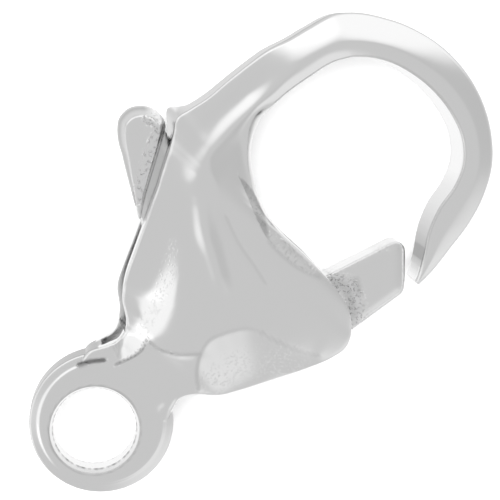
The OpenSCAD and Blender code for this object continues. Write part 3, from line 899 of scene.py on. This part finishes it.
def hole_lines(points):
    """A thin dark line where the ring's hole meets its faces, and painted shadow as a dark broken line at
    the hole's far mouth, where it meets the floor's contact shade.
    """
    radius = np.hypot(points[:, 0], points[:, 1])
    angle = np.arctan2(points[:, 1], points[:, 0])
    broken = np.clip(0.55 + 0.6 * np.sin(13 * angle + 1) * np.sin(29 * angle), 0, 1)
    height = np.abs(points[:, 2])
    half = BAIL_THICKNESS / 2
    lip = np.exp(-((radius - BAIL_BORE - BAIL_LIP - 0.01) / 0.03) ** 2) * (height > half - 0.08)
    on_bore = np.abs(radius - BAIL_BORE) < 0.06
    mouth = np.exp(-((height - half + BAIL_LIP_DEPTH) / 0.05) ** 2) * on_bore * broken
    return np.maximum(lip * 0.34, mouth * 0.95)


def mark(piece, pits_at, shade_and_dull_at):
    """Point attributes of the finished mesh that say where the silver is pitted, and where its colour is
    painted darker: mostly painted shade, with a few cast flaws.
    """
    mesh = piece.data
    count = len(mesh.vertices)
    points, normals = np.empty(count * 3), np.empty(count * 3)
    mesh.vertices.foreach_get("co", points)
    mesh.vertices.foreach_get("normal", normals)
    points = points.reshape(-1, 3) / MM
    normals = normals.reshape(-1, 3)
    for name, worth in (("pits", pits_at(points, normals)), ("shade_and_dull", shade_and_dull_at(points, normals))):
        mesh.attributes.new(name, "FLOAT", "POINT").data.foreach_set("value", worth.astype(np.float32))
    return piece


def casting_pits(points, normals):
    """Cast pits of the claw and the ring."""
    return np.maximum(strongest(points[:, 0], points[:, 1], PITTED), eye_band(points)[0] * 0.9)


def casting_shade_and_flaw(points, normals):
    """Where the casting is painted darker: painted shade in the creases, the eye's lens and wall, the
    hole's lines, the slot, the cheeks' end and on the outer walls, darker along the step by the neck, and
    the ring's row of cast pits, a real flaw.
    """
    creases, walls = strongest(points[:, 0], points[:, 1], CREASE_SHADE_AND_FLAW), outer_wall(points, normals)
    return np.max([
        creases, eye_band(points)[1], hole_lines(points), 0.8 * walls,
        inside_slot(points), eye_wall(points), cheek_corner(points, normals)
    ], axis=0)


def lever_pits(points, normals):
    """The tab's rough face and the gate's root."""
    return strongest(points[:, 0], points[:, 1], LEVER_PITTED)


def lever_shade_and_dull(points, normals):
    """Where the lever is painted darker: painted shade on the tab's side by the cheek, on its outer wall
    and on the plate inside the slot, and darker at the gate's root.
    """
    x, y, height = points[:, 0], points[:, 1], np.abs(points[:, 2])
    near, _ = nearest_rail(points, 0, [0])
    by_cheek, strength = 0.42, 0.75
    on_tab = (y > 3.0) * np.clip((3.0 + y - x) / 0.5, 0, 1) * np.where(near < by_cheek, 0.0, strength)
    in_slot = (near < 0.8) * (height < SLOT_HALF) * (x < 6.3)
    return np.max([strongest(x, y, LEVER_SHADE_AND_DULL), steepness(normals) * on_tab, 0.04 * in_slot], axis=0)


def none_at(points, normals):
    """Neither pits nor dull places."""
    return np.zeros(len(points))


# Silver

# Grey of bright silver and of the darkest painted places (mostly painted shade, some cast flaws), and of
# its edge-on reflection where it is painted darkest
BRIGHT_GREY = 0.935
SHADE_AND_DULL_GREY = 0.22
SHADE_AND_DULL_EDGE_GREY = 0.35
SHADE_AND_DULL_EDGE_START = 0.8
PITTED_ROUGHER = 0.10
BEVEL_RADIUS = 0.06
RIPPLE_DEPTH = 0.02
# Coarseness of the polishing ripple and of the pits, in cycles per metre
RIPPLE_SCALE = 700
PIT_SCALE = 11000


def silver(name, roughness, pit_depth):
    """Polished silver: a slow ripple from polishing, cast pits, and darker colour where the piece's own
    attributes put it, mostly painted shade with a few cast flaws; rougher where it is pitted. Pit depth in
    millimetres."""
    material = bpy.data.materials.new(name)
    material.use_nodes = True
    nodes, links = material.node_tree.nodes, material.node_tree.links
    shader = nodes["Principled BSDF"]
    shader.inputs["Metallic"].default_value = 1.0
    place_node = nodes.new("ShaderNodeTexCoord")

    def attribute(called):
        node = nodes.new("ShaderNodeAttribute")
        node.attribute_name = called
        return node.outputs["Fac"]

    def noise(scale, detail):
        node = nodes.new("ShaderNodeTexNoise")
        node.inputs["Scale"].default_value = scale
        node.inputs["Detail"].default_value = detail
        links.new(place_node.outputs["Object"], node.inputs["Vector"])
        return node.outputs["Fac"]

    def grey_by_shade_and_dull(bright, shade_and_dull, start, socket):
        node = nodes.new("ShaderNodeValToRGB")
        node.color_ramp.elements[0].position = start
        node.color_ramp.elements[0].color = (bright, bright, bright, 1)
        node.color_ramp.elements[1].color = (shade_and_dull, shade_and_dull, shade_and_dull, 1)
        links.new(attribute("shade_and_dull"), node.inputs["Fac"])
        links.new(node.outputs["Color"], shader.inputs[socket])

    # The attribute paints the base colour and the edge-on tint darker: mostly painted shade in creases,
    # recesses and on walls, with a few cast flaws.
    grey_by_shade_and_dull(BRIGHT_GREY, SHADE_AND_DULL_GREY, 0, "Base Color")
    grey_by_shade_and_dull(1, SHADE_AND_DULL_EDGE_GREY, SHADE_AND_DULL_EDGE_START, "Specular Tint")
    worn = nodes.new("ShaderNodeMapRange")
    worn.inputs["To Min"].default_value = roughness
    worn.inputs["To Max"].default_value = roughness + PITTED_ROUGHER
    pits = attribute("pits")
    links.new(pits, worn.inputs["Value"])
    links.new(worn.outputs["Result"], shader.inputs["Roughness"])
    edge = nodes.new("ShaderNodeBevel")
    edge.samples = 4
    edge.inputs["Radius"].default_value = BEVEL_RADIUS * MM
    ripple = nodes.new("ShaderNodeBump")
    ripple.inputs["Strength"].default_value = 0.25
    ripple.inputs["Distance"].default_value = RIPPLE_DEPTH * MM
    links.new(noise(RIPPLE_SCALE, 3), ripple.inputs["Height"])
    links.new(edge.outputs["Normal"], ripple.inputs["Normal"])
    holes = nodes.new("ShaderNodeMapRange")
    holes.inputs["From Min"].default_value = 0.34
    holes.inputs["From Max"].default_value = 0.42
    holes.inputs["To Min"].default_value = 1
    holes.inputs["To Max"].default_value = 0
    links.new(noise(PIT_SCALE, 1), holes.inputs["Value"])
    pitting = nodes.new("ShaderNodeBump")
    pitting.inputs["Distance"].default_value = pit_depth * MM
    links.new(pits, pitting.inputs["Strength"])
    links.new(holes.outputs["Result"], pitting.inputs["Height"])
    links.new(ripple.outputs["Normal"], pitting.inputs["Normal"])
    links.new(pitting.outputs["Normal"], shader.inputs["Normal"])
    return material


def dress(piece, material, node, body):
    """The piece in its material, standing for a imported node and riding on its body."""
    piece.data.materials.clear()
    piece.data.materials.append(material)
    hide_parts(node)
    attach(piece, body)
    return piece


# Studio

LEFT = Vector((-1, 1, 0)).normalized()
TOP = Vector((1, 1, 0)).normalized()
UP = Vector((0, 0, 1))
CEILING = 0.60

# Soft patches of the sky. Columns: degrees round from the picture's right towards its top,
# degrees from overhead, half angles where the patch is full and where it ends, how much
# brighter it is
SKY_PATCHES = [
    [128, 56, 16, 34, 0.44],
    [68, 68, 20, 42, 0.42],
    [190, 50, 12, 28, 0.38],
    [214, 66, 8, 20, 0.40],
    [8, 38, 0, 28, -0.07],
    [308, 54, 14, 30, 0.20],
    [0, 180, 50, 95, 0.40],
]


def studio():
    """A pale floor under a soft sky: a grey ceiling with brighter and darker patches."""
    floor_size, floor_gap, floor_middle = 0.4, 0.02, 8
    corners = np.array([[-1, -1, 0], [1, -1, 0], [1, 1, 0], [-1, 1, 0]]) * floor_size / 2 / MM
    below = [floor_middle, 0, cad_low.z / MM - floor_gap]
    floor = mesh_piece("floor", corners + below, np.array([[0, 1, 2, 3]]))
    paper = bpy.data.materials.new("pale_paper")
    paper.use_nodes = True
    surface = paper.node_tree.nodes["Principled BSDF"]
    surface.inputs["Base Color"].default_value = (0.92, 0.92, 0.92, 1)
    surface.inputs["Roughness"].default_value = 0.9
    floor.data.materials.append(paper)
    floor.visible_glossy = False
    world = bpy.data.worlds.new("soft_sky")
    world.use_nodes = True
    nodes, links = world.node_tree.nodes, world.node_tree.links
    direction = nodes.new("ShaderNodeTexCoord").outputs["Generated"]
    total = None
    for bearing, lean, full, ends, gain in SKY_PATCHES:
        sideways = TOP * np.sin(np.radians(bearing)) - LEFT * np.cos(np.radians(bearing))
        aim = nodes.new("ShaderNodeVectorMath")
        aim.operation = "DOT_PRODUCT"
        aim.inputs[1].default_value = sideways * np.sin(np.radians(lean)) + UP * np.cos(np.radians(lean))
        links.new(direction, aim.inputs[0])
        patch = nodes.new("ShaderNodeMapRange")
        patch.interpolation_type = "SMOOTHSTEP"
        patch.inputs["From Min"].default_value = np.cos(np.radians(ends))
        patch.inputs["From Max"].default_value = np.cos(np.radians(full))
        patch.inputs["To Max"].default_value = gain
        links.new(aim.outputs["Value"], patch.inputs["Value"])
        added = nodes.new("ShaderNodeMath")
        added.inputs[1].default_value = CEILING
        if total is not None:
            links.new(total, added.inputs[1])
        links.new(patch.outputs["Result"], added.inputs[0])
        total = added.outputs["Value"]
    links.new(total, nodes["Background"].inputs["Strength"])
    nodes["Background"].inputs["Color"].default_value = (1, 1, 1, 1)
    bpy.context.scene.world = world
    bpy.context.scene.view_settings.view_transform = "Standard"


def softbox(name, towards, distance, size, strength):
    """A square light that faces the clasp from a direction, its distance and size in metres.
    It lights the floor and doesn't show in the silver."""
    light = bpy.data.lights.new(name, "AREA")
    light.shape = "RECTANGLE"
    light.size, light.size_y = size
    light.energy = strength
    lamp = bpy.data.objects.new(name, light)
    direction = Vector(towards).normalized()
    lamp.location = Vector(CAMERA_AIM) * MM + direction * distance
    lamp.rotation_euler = direction.to_track_quat("Z", "Y").to_euler()
    lamp.visible_glossy = False
    bpy.context.scene.collection.objects.link(lamp)
    return lamp


# The photograph's camera: what it looks at, from which way and how far, in millimetres
CAMERA_AIM = (7.989, 0.606, 0.8)
CAMERA_FROM = (0.0361, 0.1831, 1.0)
CAMERA_DISTANCE = 50.2
PICTURE_UP = (1, 1, 0)
FOCAL_IN_PIXELS = 1513
PICTURE_SIZE = 500


def camera():
    """The camera, with the picture's up along the line between +X and +Y."""
    data = bpy.data.cameras.new("camera")
    data.sensor_width = 36
    data.lens = data.sensor_width * FOCAL_IN_PIXELS / PICTURE_SIZE
    data.clip_start = 0.001
    eye = bpy.data.objects.new("camera", data)
    back = Vector(CAMERA_FROM).normalized()
    right = Vector(PICTURE_UP).cross(back).normalized()
    up = back.cross(right)
    turn = Matrix((right, up, back)).transposed().to_4x4()
    eye.matrix_world = Matrix.Translation((Vector(CAMERA_AIM) + back * CAMERA_DISTANCE) * MM) @ turn
    bpy.context.scene.collection.objects.link(eye)
    bpy.context.scene.camera = eye


camera()
studio()
softbox("overhead_box", LEFT * 0.25 + TOP * 0.25 + UP, 0.25, (0.30, 0.30), 1.35)

body = mark(smooth_finish(casting(), CAST_SHARP_ANGLE), casting_pits, casting_shade_and_flaw)
arm = mark(smooth_finish(lever(), CAST_SHARP_ANGLE), lever_pits, lever_shade_and_dull)
pin = mark(smooth_finish(pivot_pin(), PIN_SHARP_ANGLE), none_at, none_at)
dress(body, silver("cast_silver", 0.16, 0.03), "body", "claw")
dress(arm, silver("lever_silver", 0.20, 0.06), "lever", "lever")
dress(pin, silver("pin_silver", 0.20, 0.03), "pivot_pin", "claw")
